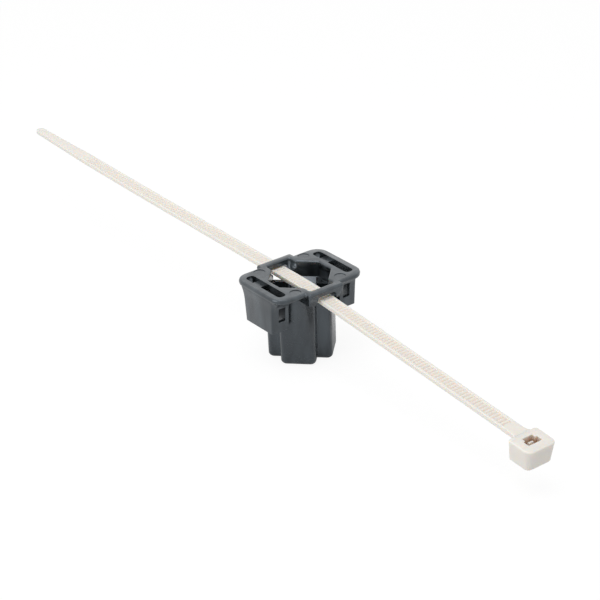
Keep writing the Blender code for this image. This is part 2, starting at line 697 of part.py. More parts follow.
def make_tie(parts, tools):
    """Build the cable tie: strap, teeth, head and locking tongue."""
    start = -HEAD_PLACE - 2.0 * OVERCUT
    tie = tie_band("cable_tie", start, TAIL_REACH + OVERCUT, parts, TIE_WIDTH, BAND_STEPS)
    combine(tie, prism("tie_plan", tie_plan(), 0.0, 2.0 * MOUNT_HEIGHT, tools), "INTERSECT")
    head = make_head(tools)
    head.matrix_world = head_frame()
    join(tie, head)
    cut(tie, make_ladder(tools))
    return tie


def nylon(name, color, roughness):
    """Make a moulded nylon material."""
    material = bpy.data.materials.new(name)
    material.use_nodes = True
    shader = material.node_tree.nodes["Principled BSDF"]
    shader.inputs["Base Color"].default_value = (*color, 1.0)
    shader.inputs["Roughness"].default_value = roughness
    shader.inputs["Metallic"].default_value = 0.0
    material.diffuse_color = (*color, 1.0)
    return material


def dress(item, material):
    """Give an object its material and smooth its rounded faces."""
    item.data.materials.clear()
    item.data.materials.append(material)
    item.data.shade_smooth()
    item.data.set_sharp_from_angle(angle=math.radians(30.0))


def main():
    """Build both mouldings."""
    remove_scene_objects()
    parts = new_collection("stud_mount_cable_tie")
    tools = new_collection("cutters")
    mount = make_mount(parts, tools)
    tie = make_tie(parts, tools)
    dress(mount, nylon("black_nylon", (0.055, 0.065, 0.072), 0.42))
    dress(tie, nylon("natural_nylon", (0.83, 0.79, 0.72), 0.45))


main()
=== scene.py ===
"""The dressed cable tie and stud mount, with their camera, floor and studio light.

Lengths are in millimetres until a mesh is filled, and the frame is the CAD model's:
the origin on the stud's axis in the plane of the mount's foot, +Z up, +Y towards
the tie's tail and +X across the tie.
"""
import logging
import math
from dataclasses import dataclass, field
from enum import Enum

import bmesh
import bpy
import numpy as np
from mathutils import Matrix, Vector


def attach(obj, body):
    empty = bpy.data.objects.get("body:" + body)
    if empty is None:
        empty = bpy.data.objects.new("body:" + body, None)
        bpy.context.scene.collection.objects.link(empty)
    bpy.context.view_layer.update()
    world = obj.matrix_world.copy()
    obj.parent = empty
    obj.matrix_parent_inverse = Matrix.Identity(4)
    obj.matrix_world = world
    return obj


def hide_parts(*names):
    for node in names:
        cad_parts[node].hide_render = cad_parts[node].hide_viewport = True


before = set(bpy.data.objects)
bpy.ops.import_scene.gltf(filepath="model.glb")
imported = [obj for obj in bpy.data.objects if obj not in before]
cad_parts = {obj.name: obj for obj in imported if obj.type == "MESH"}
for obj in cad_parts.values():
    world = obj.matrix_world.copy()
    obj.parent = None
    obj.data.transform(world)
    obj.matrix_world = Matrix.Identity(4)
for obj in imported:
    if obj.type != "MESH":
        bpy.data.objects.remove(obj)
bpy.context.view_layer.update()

MM = 0.001
BODY = "root"
CLOUD_SPAN = (0.3, 0.7)        # values of a noise between which a cloud goes from none to full
WHITE = (1.0, 1.0, 1.0, 1.0)
log = logging.getLogger("scene")


class Slot(Enum):
    """The record's material slots."""

    MOUNT = "black_nylon"
    TIE = "natural_nylon"


def linear(code: str) -> tuple[float, float, float]:
    """Turn an sRGB hex colour into linear light: a straight line in the dark, a power above it.

    Args:
        code: six hex digits after a hash sign.

    Returns:
        Red, green and blue from 0 to 1.
    """
    parts = np.array([int(code[at:at + 2], 16) for at in (1, 3, 5)]) / 255.0
    low = parts / 12.92
    high = ((parts + 0.055) / 1.055) ** 2.4
    return tuple(float(value) for value in np.where(parts <= 0.04045, low, high))


def add_node(tree: bpy.types.NodeTree, kind: str, sockets: dict | None = None,
             **settings: object) -> bpy.types.Node:
    """Add a shader node, set it up and link it.

    Args:
        tree: the node tree.
        kind: the node's type name.
        sockets: values or output sockets for the node's inputs, by name or index.
        settings: the node's own properties.

    Returns:
        The new node.
    """
    node = tree.nodes.new(kind)
    for name, value in settings.items():
        setattr(node, name, value)
    for name, value in (sockets or {}).items():
        if isinstance(value, bpy.types.NodeSocket):
            tree.links.new(value, node.inputs[name])
        else:
            node.inputs[name].default_value = value
    return node


def new_material(name: str, color: tuple[float, float, float]
                 ) -> tuple[bpy.types.Material, bpy.types.Node]:
    """Make a material with its Principled shader.

    Args:
        name: the material's name.
        color: its viewport colour, linear.

    Returns:
        The material and its shader node.
    """
    material = bpy.data.materials.new(name)
    material.use_nodes = True
    material.diffuse_color = (*color, 1.0)
    return material, material.node_tree.nodes["Principled BSDF"]


@dataclass(frozen=True)
class BlackNylon:
    """Injection moulded black nylon 6/6.

    The eye sees a dark blue-grey satin under a thin glassy skin. The steel of the mould
    was spark eroded, which leaves a fine even grain. Paler streaks, drawn out along the
    height, are painted sheen for the streaky reflections of the light; their slight waviness
    is a bump. Broad clouds make it barely duller.
    """

    deep: str = "#121516"
    pale: str = "#343a3d"      # colour of the painted sheen streaks
    sheen: str = "#dbe9f7"     # tint of its reflections
    index: float = 1.8         # of refraction, above nylon's 1.53, because it reflects this much
    roughness: float = 0.28
    gloss: tuple[float, float] = (0.05, 0.07)      # how far clouds lower and raise the roughness
    cloud: float = 7.0         # mm, width of the flow clouds
    skin: float = 0.5          # share of the thin glassy skin that forms against the mould
    skin_roughness: float = 0.15
    skin_index: float = 1.5
    streak: float = 3.0        # mm, width of the streaks
    streak_shape: float = 0.22                     # their width over their height
    streak_span: tuple[float, float] = (0.38, 0.66)        # noise at which one starts, is full
    wave: tuple[float, float] = (0.6, 0.15)        # their bump: strength, and height in mm
    grain: float = 0.35        # mm, spark-eroded grain, drawn three times as coarse as it is
    pit: tuple[float, float] = (0.25, 0.03)        # its bump: strength, and depth in mm

    def material(self) -> bpy.types.Material:
        """Build the node material.

        Returns:
            The material.
        """
        material, shader = new_material("black_nylon_moulded", linear(self.deep))
        tree = material.node_tree
        where = add_node(tree, "ShaderNodeTexCoord").outputs["Object"]
        clouds = add_node(tree, "ShaderNodeTexNoise", {
            "Vector": where, "Scale": 1.0 / (self.cloud * MM), "Detail": 3.0, "Roughness": 0.55})
        grain = add_node(tree, "ShaderNodeTexNoise", {
            "Vector": where, "Scale": 1.0 / (self.grain * MM), "Detail": 2.0, "Roughness": 0.6})
        drawn = add_node(tree, "ShaderNodeMapping", {
            "Vector": where, "Scale": (1.0, 1.0, self.streak_shape)})
        streak_noise = add_node(tree, "ShaderNodeTexNoise", {
            "Vector": drawn.outputs["Vector"], "Scale": 1.0 / (self.streak * MM), "Detail": 1.0})
        sheen_streaks = add_node(tree, "ShaderNodeMapRange", {
            "Value": streak_noise.outputs["Fac"],
            "From Min": self.streak_span[0], "From Max": self.streak_span[1]})
        # painted sheen: the paler colour is mixed in along the streaks
        color = add_node(tree, "ShaderNodeMix", {
            "Factor": sheen_streaks.outputs["Result"],
            "A": (*linear(self.deep), 1.0), "B": (*linear(self.pale), 1.0)}, data_type="RGBA")
        gloss = add_node(tree, "ShaderNodeMapRange", {
            "Value": clouds.outputs["Fac"], "From Min": CLOUD_SPAN[0], "From Max": CLOUD_SPAN[1],
            "To Min": self.roughness - self.gloss[0], "To Max": self.roughness + self.gloss[1]})
        waves = add_node(tree, "ShaderNodeBump", {
            "Height": streak_noise.outputs["Fac"], "Strength": self.wave[0], "Distance": self.wave[1] * MM})
        bump = add_node(tree, "ShaderNodeBump", {
            "Height": grain.outputs["Fac"], "Strength": self.pit[0], "Distance": self.pit[1] * MM,
            "Normal": waves.outputs["Normal"]})
        tree.links.new(color.outputs["Result"], shader.inputs["Base Color"])
        tree.links.new(gloss.outputs["Result"], shader.inputs["Roughness"])
        tree.links.new(bump.outputs["Normal"], shader.inputs["Normal"])
        tree.links.new(bump.outputs["Normal"], shader.inputs["Coat Normal"])
        shader.inputs["IOR"].default_value = self.index
        shader.inputs["Specular Tint"].default_value = (*linear(self.sheen), 1.0)
        shader.inputs["Coat Weight"].default_value = self.skin
        shader.inputs["Coat Roughness"].default_value = self.skin_roughness
        shader.inputs["Coat IOR"].default_value = self.skin_index
        return material


@dataclass(frozen=True)
class NaturalNylon:
    """Injection moulded natural nylon 6/6, uncoloured.

    The eye sees a warm milky white that lets some light through: thin edges glow and the
    flats have a soft satin sheen. The grooves between the teeth, the head's passage and the
    tongue are painted beige as painted shade of those recesses.
    """

    body: str = "#ede9e2"
    # painted shade: the beige that the grooves, the passage and the tongue take
    groove: str = "#cda27c"
    index: float = 1.53        # of refraction
    roughness: float = 0.42
    gloss: tuple[float, float] = (0.05, 0.06)      # how far clouds lower and raise the roughness
    cloud: float = 9.0         # mm, width of the flow clouds
    milk: float = 0.6          # share of the light that wanders below the surface
    depth: float = 1.2         # mm, how far it wanders
    reach: tuple[float, float, float] = (1.0, 0.8, 0.6)    # that of red, green and blue, as shares
    grain: float = 0.3         # mm, moulded grain, drawn coarser than it is
    pit: tuple[float, float] = (0.15, 0.02)        # its bump: strength, and depth in mm

    def material(self) -> bpy.types.Material:
        """Build the node material, whose painted groove shade follows the mesh's own attribute.

        Returns:
            The material.
        """
        material, shader = new_material("natural_nylon_moulded", linear(self.body))
        tree = material.node_tree
        where = add_node(tree, "ShaderNodeTexCoord").outputs["Object"]
        clouds = add_node(tree, "ShaderNodeTexNoise", {
            "Vector": where, "Scale": 1.0 / (self.cloud * MM), "Detail": 2.0})
        grain = add_node(tree, "ShaderNodeTexNoise", {
            "Vector": where, "Scale": 1.0 / (self.grain * MM), "Detail": 2.0})
        # painted shade: the mesh's groove attribute mixes the beige into the body colour
        grooves = add_node(tree, "ShaderNodeAttribute", attribute_name="groove")
        groove_shade = add_node(tree, "ShaderNodeMix", {
            "Factor": grooves.outputs["Fac"],
            "A": (*linear(self.body), 1.0), "B": (*linear(self.groove), 1.0)}, data_type="RGBA")
        gloss = add_node(tree, "ShaderNodeMapRange", {
            "Value": clouds.outputs["Fac"], "From Min": CLOUD_SPAN[0], "From Max": CLOUD_SPAN[1],
            "To Min": self.roughness - self.gloss[0], "To Max": self.roughness + self.gloss[1]})
        bump = add_node(tree, "ShaderNodeBump", {
            "Height": grain.outputs["Fac"], "Strength": self.pit[0], "Distance": self.pit[1] * MM})
        tree.links.new(groove_shade.outputs["Result"], shader.inputs["Base Color"])
        tree.links.new(gloss.outputs["Result"], shader.inputs["Roughness"])
        tree.links.new(bump.outputs["Normal"], shader.inputs["Normal"])
        shader.inputs["IOR"].default_value = self.index
        shader.inputs["Subsurface Weight"].default_value = self.milk
        shader.inputs["Subsurface Radius"].default_value = self.reach
        shader.inputs["Subsurface Scale"].default_value = self.depth * MM
        return material


def signed_volume(points: np.ndarray, faces: np.ndarray) -> float:
    """Return the volume that quads or triangles enclose: a sum of cone volumes from the origin.

    Args:
        points: the corners, as rows of three.
        faces: three or four point numbers for each face.

    Returns:
        The volume, which is negative where the faces point inwards.
    """
    total = 0.0
    corner = points[faces]
    for at in range(1, faces.shape[1] - 1):
        total += float(np.sum(np.cross(corner[:, 0], corner[:, at]) * corner[:, at + 1]))
    return total / 6.0


def tube_faces(rows: int, columns: int, closed: bool) -> np.ndarray:
    """Return the quads of a grid whose columns run round a ring.

    Args:
        rows: rings in the grid.
        columns: points in a ring.
        closed: whether the last ring joins the first.

    Returns:
        An array of four point numbers for each quad.
    """
    count = rows if closed else rows - 1
    row, column = np.meshgrid(np.arange(count), np.arange(columns), indexing="ij")
    after_row = (row + 1) % rows
    after = (column + 1) % columns
    quads = np.stack([row * columns + column, row * columns + after,
                      after_row * columns + after, after_row * columns + column], axis=-1)
    return quads.reshape(-1, 4)


def grid_piece(name: str, rings: np.ndarray, groove: np.ndarray, closed: bool = False,
               sharp: float = 40.0) -> bpy.types.Object:
    """Turn rings of points into a closed mesh object with its faces outwards.

    Args:
        name: the piece's name.
        rings: points in millimetres, as ring by place in the ring by axis.
        groove: each point's painted groove shade, from 0 to 1, in the rings' layout.
        closed: whether the last ring joins the first; otherwise a pole closes each end ring.
        sharp: the angle in degrees past which an edge stays sharp.

    Returns:
        The linked object.
    """
    rows, columns, _ = rings.shape
    points = rings.reshape(-1, 3)
    faces = tube_faces(rows, columns, closed)
    shade = groove.reshape(-1)
    polygons = faces.tolist()
    fans = np.zeros((0, 3), dtype=int)
    if not closed:
        around = np.arange(columns)
        after = (around + 1) % columns
        first = len(points)
        last = first + 1
        start = np.stack([after, around, np.full(columns, first)], axis=-1)
        base = (rows - 1) * columns
        end = np.stack([base + around, base + after, np.full(columns, last)], axis=-1)
        fans = np.concatenate([start, end])
        points = np.concatenate([points, rings[:1].mean(axis=1), rings[-1:].mean(axis=1)])
        shade = np.concatenate([shade, [0.0, 0.0]])
        polygons += fans.tolist()
    volume = signed_volume(points, faces) + (signed_volume(points, fans) if len(fans) else 0.0)
    if volume < 0.0:
        polygons = [face[::-1] for face in polygons]
    mesh = bpy.data.meshes.new(name)
    mesh.from_pydata((points * MM).tolist(), [], polygons)
    attribute = mesh.attributes.new("groove", "FLOAT", "POINT")
    attribute.data.foreach_set("value", shade.astype(np.float32))
    mesh.shade_smooth()
    mesh.set_sharp_from_angle(angle=math.radians(sharp))
    piece = bpy.data.objects.new(name, mesh)
    bpy.context.scene.collection.objects.link(piece)
    return piece


def rounded_outline(corners: list[tuple[float, float]], radii: list[float],
                    steps: int = 8) -> np.ndarray:
    """Return a polygon's outline with its corners turned into arcs.

    A corner's arc touches both its sides: its centre lies on the bisector at radius over
    the sine of half the corner's angle, and it sweeps from one side's normal to the other's.

    Args:
        corners: the polygon's corners, anticlockwise.
        radii: a radius above nought for each corner.
        steps: facets of an arc.

    Returns:
        Points as rows of two.
    """
    points = np.array(corners, dtype=float)
    before = np.roll(points, 1, axis=0) - points
    after = np.roll(points, -1, axis=0) - points
    before /= np.linalg.norm(before, axis=1, keepdims=True)
    after /= np.linalg.norm(after, axis=1, keepdims=True)
    half = np.arccos(np.clip(np.sum(before * after, axis=1), -1.0, 1.0)) / 2.0
    radius = np.array(radii, dtype=float)
    middle = before + after
    middle /= np.linalg.norm(middle, axis=1, keepdims=True)
    centre = points + middle * (radius / np.sin(half))[:, None]
    arm = points + before * (radius / np.tan(half))[:, None] - centre
    turn = np.sign(-(before[:, 0] * after[:, 1] - before[:, 1] * after[:, 0]))
    sweep = (np.pi - 2.0 * half) * turn
    angle = sweep[:, None] * np.linspace(0.0, 1.0, steps + 1)[None, :]
    cos, sin = np.cos(angle), np.sin(angle)
    x = centre[:, :1] + cos * arm[:, :1] - sin * arm[:, 1:]
    y = centre[:, 1:] + sin * arm[:, :1] + cos * arm[:, 1:]
    return np.stack([x, y], axis=-1).reshape(-1, 2)


def radius_at(outline: np.ndarray, centre: np.ndarray, angles: np.ndarray) -> np.ndarray:
    """Return how far an outline lies from a centre inside it, in each direction.

    The ray in a direction meets the straight line between the two points beside it where
    the cross products of the ray and of the line's start with the line are in proportion.

    Args:
        outline: points as rows of two, each seen once from the centre.
        centre: the point that the directions start from.
        angles: directions in radians, from -pi to pi.

    Returns:
        A distance for each angle.
    """
    offset = outline - centre
    bearing = np.arctan2(offset[:, 1], offset[:, 0])
    order = np.argsort(bearing)
    offset, bearing = offset[order], bearing[order]
    bearing = np.concatenate([[bearing[-1] - 2.0 * np.pi], bearing, [bearing[0] + 2.0 * np.pi]])
    offset = np.concatenate([offset[-1:], offset, offset[:1]])
    after = np.clip(np.searchsorted(bearing, angles, side="right"), 1, len(bearing) - 1)
    start, end = offset[after - 1], offset[after]
    ray = np.stack([np.cos(angles), np.sin(angles)], axis=-1)
    along = end - start
    across = ray[:, 0] * along[:, 1] - ray[:, 1] * along[:, 0]
    reach = start[:, 0] * along[:, 1] - start[:, 1] * along[:, 0]
    flat = np.abs(across) < 1e-12
    return np.where(flat, np.linalg.norm(start, axis=1), reach / np.where(flat, 1.0, across))


def settle(piece: bpy.types.Object, finish: bpy.types.Material,
           node: str) -> bpy.types.Object:
    """Give a piece its finish and its body, and hide the CAD node that it stands for.

    Args:
        piece: the piece.
        finish: its material.
        node: the CAD node that it replaces.

    Returns:
        The same piece.
    """
    piece.data.materials.clear()
    piece.data.materials.append(finish)
    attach(piece, BODY)
    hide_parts(node)
    return piece


def set_up(name: str, data: bpy.types.ID, axes: list[np.ndarray],
           place: tuple[float, float, float]) -> bpy.types.Object:
    """Link a camera or a light, turned to its axes.

    Args:
        name: the object's name.
        data: the camera or light.
        axes: its X, Y and Z axes, each of length one.
        place: where it stands, in millimetres.

    Returns:
        The linked object.
    """
    matrix = np.eye(4)
    matrix[:3, :3] = np.stack(axes, axis=1)
    matrix[:3, 3] = np.array(place) * MM
    thing = bpy.data.objects.new(name, data)
    thing.matrix_world = Matrix(matrix.tolist())
    bpy.context.scene.collection.objects.link(thing)
    return thing


@dataclass
class StudMount:
    """The black mount, whose longer moulded edges are broken by a small bevel."""

    node: str = "stud_mount"
    name: str = "mount_moulding"
    merge: float = 0.002       # corners nearer than this become one
    flat: float = 0.4          # degrees, facets that turn less than this become one
    sharp: float = 32.0        # degrees, an edge that turns more than this is broken
    edge: float = 0.16         # width of the bevel
    segments: int = 2
    room: float = 0.8          # an edge keeps its corner where one shorter than this meets it
    well: tuple[float, float] = (9.6, 21.0)        # radius and height in which edges are kept
    finish: BlackNylon = field(default_factory=BlackNylon)

    def weigh_edges(self, shape: bmesh.types.BMesh) -> None:
        """Mark the edges that the bevel breaks: the sharp ones outside the well that have room.

        Args:
            shape: the mount's mesh, which gets a bevel weight of one on those edges.
        """
        weight = shape.edges.layers.float.new("bevel_weight_edge")
        for edge in shape.edges:
            near = [other.calc_length() for vertex in edge.verts for other in vertex.link_edges]
            middle = sum((vertex.co for vertex in edge.verts), Vector()) / (2.0 * MM)
            inside = middle.xy.length < self.well[0] and middle.z < self.well[1]
            sharp = edge.calc_face_angle(0.0) > math.radians(self.sharp)
            edge[weight] = float(sharp and not inside and min(near) >= self.room * MM)

    def build(self) -> bpy.types.Object:
        """Copy the CAD mount, merge its triangles into its flat faces and bevel its edges.

        The bevel keeps the flat faces' own normals, so they stay flat under the light.

        Returns:
            The finished piece.
        """
        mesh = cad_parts[self.node].data.copy()
        mesh.name = self.name
        shape = bmesh.new()
        shape.from_mesh(mesh)
        bmesh.ops.remove_doubles(shape, verts=shape.verts, dist=self.merge * MM)
        bmesh.ops.dissolve_limit(shape, angle_limit=math.radians(self.flat),
                                 verts=shape.verts, edges=shape.edges)
        bmesh.ops.recalc_face_normals(shape, faces=shape.faces)
        self.weigh_edges(shape)
        shape.to_mesh(mesh)
        shape.free()
        mesh.shade_smooth()
        mesh.set_sharp_from_angle(angle=math.radians(self.sharp))
        piece = bpy.data.objects.new(self.name, mesh)
        bpy.context.scene.collection.objects.link(piece)
        bevel = piece.modifiers.new("edges", "BEVEL")
        bevel.width = self.edge * MM
        bevel.segments = self.segments
        bevel.limit_method = "WEIGHT"
        bevel.use_clamp_overlap = False
        bevel.harden_normals = True
        bpy.context.view_layer.update()
        evaluated = piece.evaluated_get(bpy.context.evaluated_depsgraph_get())
        piece.data = bpy.data.meshes.new_from_object(evaluated)
        piece.data.name = self.name
        piece.modifiers.clear()
        return settle(piece, self.finish.material(), self.node)


@dataclass
class CableTie:
    """The natural nylon tie: strap with its ladder of teeth, head and locking tongue.

    Places along the strap are those of +Y. The head's own axes start at the middle of its
    face towards the strap, level with its upper face, and turn with the strap.
    """

    node: str = "cable_tie"
    width: float = 4.6
    thickness: float = 1.3
    height: float = 23.03      # where the upper faces of the first two legs would meet
    head_slope: float = 0.092
    middle_slope: float = 0.0107
    tail_slope: float = 0.0213
    bend: tuple[float, float] = (-5.7, 4.0)        # place and softness
    tail_bend: tuple[float, float] = (84.3, 5.1)
    tail: float = 151.9        # stud axis to the tip
    blunt: float = 0.004       # the last ring's distance from the tip
    taper: float = 34.0
    tip_width: float = 2.9
    flare: tuple[float, float, float] = (1.9, 2.4, 0.85)   # start before the head, run and gain
    neck: float = 88.4         # stud axis to the first tooth, on the head's side
    head: float = 93.6         # stud axis to the near face of the head
    root: float = 1.4          # how far the strap runs on into the head
    ladder_end: float = 118.4
    apart: float = 0.02        # between the ladder's ends and the plain strap's sections
    sections: tuple[int, int, int] = (24, 36, 14)  # of the neck, the plain strap and the tip
    pitch: float = 1.27
    tooth: float = 0.44
    tooth_sink: float = 0.05   # the crests lie this far below the rails
    tooth_foot: float = 0.97   # depth just past the flank, as a share of the tooth's
    land: float = 0.25
    riser: float = 0.12
    rail: float = 0.72
    rail_slope: tuple[float, float] = (0.14, 0.05)         # width and depth of its inner slope
    floor: tuple[float, ...] = (0.0, 0.3, 0.6, 0.8, 0.87)  # places over the groove's half width
    edge: float = 0.12         # rounding of the strap's long edges
    narrow: tuple[float, float] = (0.45, 0.35)     # most edge and least groove, of the half width
    groove_shade: float = 0.45         # how much painted shade of the groove colour the teeth take
    head_length: float = 8.2
    head_width: float = 10.0
    head_height: float = 6.1
    head_lift: float = 0.05    # the head's upper face stands this far above the strap's
    head_corners: tuple[float, float] = (2.1, 1.0)         # radii at its far and near ends
    least_corner: float = 0.3
    head_taper: float = 0.55   # how much its foot is drawn in on each side
    head_edge: float = 0.4
    lock: tuple[float, float] = (4.2, 1.9)         # near face to passage's middle; its length
    passage_half: float = 2.35
    passage_corner: float = 0.25
    recess: tuple[float, float] = (1.75, 1.2)      # the tongue's: its half width and its run
    recess_depth: float = 4.75
    lip: float = 0.2
    fan: int = 97              # even directions about the passage, counting both ends
    least_turn: float = 2e-3   # radians, directions nearer than this are one
    passage_shade: float = 0.7        # how much painted shade of the groove colour the passage takes
    tongue_half: float = 0.8
    tongue_edge: float = 0.12
    # how much painted shade of the groove colour the tongue takes
    tongue_shade: float = 0.1
    finish: NaturalNylon = field(default_factory=NaturalNylon)

    def top(self, y: np.ndarray) -> np.ndarray:
        """Return the height of the strap's upper face: three legs, softly bent into each other.

        Past each bend the height gains the change of slope times a soft ramp, which is the
        logarithm of one plus the exponential of the distance.

        Args:
            y: places along the strap.

        Returns:
            A height for each place.
        """
        def ramp(place: float, softness: float) -> np.ndarray:
            """Return the soft ramp that starts at a place."""
            distance = y - place
            curve = softness * np.log1p(np.exp(-np.abs(distance) / softness))
            return np.maximum(distance, 0.0) + curve

        first = self.height + self.head_slope * (y - self.bend[0])
        second = (self.middle_slope - self.head_slope) * ramp(*self.bend)
        return first + second + (self.tail_slope - self.middle_slope) * ramp(*self.tail_bend)

    def half_width(self, y: np.ndarray) -> np.ndarray:
        """Return half the strap's width: straight, then a taper, then a round tip.

        At the neck it gains the flare's gain times the square of the share of its run.

        Args:
            y: places along the strap.

        Returns:
            Half a width for each place.
        """
        half = self.width / 2.0
        tip = self.tip_width / 2.0
        start = self.tail - self.taper
        share = np.clip((y - start) / self.taper, 0.0, 1.0)
        beyond = np.clip((y - (self.tail - tip)) / tip, 0.0, 1.0)
        slim = (half + (tip - half) * share) * np.sqrt(np.maximum(1.0 - beyond ** 2, 0.0))
        offset, run, gain = self.flare
        flare = np.clip((-y - (self.head - offset)) / run, 0.0, 1.0)
        return slim + gain * flare ** 2

    def stations(self) -> tuple[np.ndarray, np.ndarray]:
        """Return places along the strap and the depth of the ladder at each.

        A tooth falls from its crest down a steep flank and rises again on a long ramp to
        the next crest. Between the ladder's ends and those of the strap the depth is nought.
        The tip's places follow the sine of even angles, so its round outline is even.

        Returns:
            The places in order, and a depth for each.
        """
        count = int((self.ladder_end + self.neck) / self.pitch)
        crest = self.pitch - self.land
        low = self.tooth - self.tooth_sink
        # A tooth's sections: three down the flank, one past it, two on the ramp, two at the crest.
        phase = np.array([0.0, 0.035, self.riser, 0.19, 0.45, 0.75, crest - 0.03, crest + 0.05])
        past_flank = 3
        flank = phase / self.riser
        ramp = np.clip((crest - phase) / (crest - self.riser), 0.0, 1.0)
        depth = np.where(phase < self.riser, flank, ramp) * low + self.tooth_sink
        depth[past_flank] = self.tooth * self.tooth_foot
        start = -self.neck + self.pitch * np.arange(count)
        teeth = (start[:, None] + phase[None, :]).reshape(-1)
        depths = np.broadcast_to(depth, (count, len(phase))).reshape(-1)
        end = -self.neck + count * self.pitch
        tip = self.tip_width / 2.0
        neck_count, plain_count, tip_count = self.sections
        neck = np.linspace(-self.head - self.root, -self.neck - self.apart, neck_count)
        plain = np.linspace(end + self.apart, self.tail - tip, plain_count)
        curl = self.tail - tip + tip * np.sin(np.linspace(0.0, np.pi / 2.0, tip_count)[1:-1])
        places = np.concatenate([neck, teeth, plain, curl, [self.tail - self.blunt]])
        sunk = np.concatenate([np.zeros(len(neck)), depths, np.zeros(len(plain) + len(curl) + 1)])
        return places, sunk

    def strap(self) -> bpy.types.Object:
        """Build the strap: one cross-section carried along the arch.

        The section's upper side is a rail, a groove as deep as the ladder is there, and a
        rail; its four long edges are quarter circles. Each point of it is a place across
        the strap and a drop below the upper face, and drops follow the arch's normal. The
        groove's colour, a painted shade, grows with the square of the depth below the crests.

        Returns:
            The linked piece.
        """
        y, sunk = (values[:, None] for values in self.stations())
        half = self.half_width(y)
        edge = np.minimum(self.edge, half * self.narrow[0])
        inner = np.maximum(half - self.rail, half * self.narrow[1])
        arc = np.linspace(0.0, np.pi / 2.0, 5)
        floor = np.array(self.floor)
        run, foot = self.rail_slope
        across = np.concatenate([
            inner * floor, inner, inner + run,
            half - edge + edge * np.sin(arc), half,
            half - edge + edge * np.cos(arc), inner * floor[::-1]], axis=1)
        middle = np.full_like(half, self.thickness / 2.0)
        under = np.full((len(y), len(floor)), self.thickness)
        drop = np.concatenate([
            np.broadcast_to(sunk, under.shape), np.minimum(sunk, foot), np.zeros_like(half),
            edge * (1.0 - np.cos(arc)), middle,
            self.thickness - edge + edge * np.sin(arc), under], axis=1)
        across = np.concatenate([across, -across[:, -2:0:-1]], axis=1)
        drop = np.concatenate([drop, drop[:, -2:0:-1]], axis=1)
        top = self.top(y)
        slope = np.gradient(top[:, 0], y[:, 0])[:, None]
        length = np.sqrt(1.0 + slope ** 2)
        points = np.stack([across, y + drop * slope / length, top - drop / length], axis=-1)
        sunken = np.clip((drop - self.tooth_sink) / (self.tooth - self.tooth_sink), 0.0, 1.0)
        ladder = (drop < self.thickness / 2.0) & (np.abs(across) <= inner)
        # painted shade in the grooves: the beige deepens with the square of the depth
        groove = np.where(ladder, sunken ** 2, 0.0) * self.groove_shade
        return grid_piece("tie_strap", points, groove)

    def to_frame(self, points: np.ndarray) -> np.ndarray:
        """Set points of the head's own axes at the end of the strap: a turn about X, then a shift.

        Args:
            points: points in the head's own axes, in the last axis of the array.

        Returns:
            The same points in the shared frame.
        """
        turn = math.atan(self.head_slope)
        cos, sin = math.cos(turn), math.sin(turn)
        level = float(self.top(np.array(-self.head)))
        y = cos * points[..., 1] - sin * points[..., 2] - self.head
        z = sin * points[..., 1] + cos * points[..., 2] + level + self.head_lift
        return np.stack([points[..., 0], y, z], axis=-1)

    def head_plan(self, inset: float) -> np.ndarray:
        """Return the head's outline from above, drawn in from all four sides.

        Args:
            inset: how far it is drawn in.

        Returns:
            Points as rows of two, in the head's own axes.
        """
        left, far, near = inset - self.head_width / 2.0, inset - self.head_length, -inset
        far_radius, near_radius = (max(corner - inset, self.least_corner)
                                   for corner in self.head_corners)
        return rounded_outline([(left, far), (-left, far), (-left, near), (left, near)],
                               [far_radius, far_radius, near_radius, near_radius])

    def passage_plans(self) -> tuple[np.ndarray, np.ndarray]:
        """Return the passage's outlines from above: a slot, with the tongue's recess higher up.

        Returns:
            The upper and the lower outline, in the head's own axes.
        """
        middle, length = self.lock
        near, far = -middle + length / 2.0, -middle - length / 2.0
        wide = self.passage_half
        step, run = self.recess
        plain = [(-wide, far), (wide, far), (wide, near), (-wide, near)]
        recess = [(step, near), (step, near + run), (-step, near + run), (-step, near)]
        stepped = plain[:3] + recess + plain[3:]
        upper, lower = (rounded_outline(corners, [self.passage_corner] * len(corners), 3)
                        for corners in (stepped, plain))
        return upper, lower

    def head_block(self) -> bpy.types.Object:
        """Build the head: a ring of sections carried round the passage.

        In each direction from the passage's centre, the section goes up the outer wall,
        over its rounded rim, in across the top, over the passage's lip, down its wall and
        back out below. Its outer distances are those of the head's plan, drawn in by the
        taper at the foot and by a quarter circle at each rim, and its inner ones those of
        the passage's plans. The passage is painted with the groove colour as shade, in full
        from 1 mm down.

        Returns:
            The linked piece.
        """
        centre = np.array([0.0, -self.lock[0]])
        upper, lower = self.passage_plans()
        outlines = (upper, lower, self.head_plan(0.0), self.head_plan(self.head_taper))
        corners = [np.arctan2(*(outline - centre).T[::-1]) for outline in outlines]
        even = np.linspace(-np.pi, np.pi, self.fan)[:-1]
        angles = np.unique(np.round(np.concatenate([*corners, even]), 5))
        angles = angles[np.concatenate([[True], np.diff(angles) > self.least_turn])]
        height, rim, lip = self.head_height, self.head_edge, self.lip
        levels: list[np.ndarray] = []

        def outer(inset: float) -> np.ndarray:
            """Return the distances of the head's plan, drawn in by an inset."""
            return radius_at(self.head_plan(inset), centre, angles)

        def add_level(distance: np.ndarray, z: float) -> None:
            """Add a point to every section: its distance from the centre and its height."""
            levels.append(np.stack([distance, np.full(len(angles), z)], axis=-1))

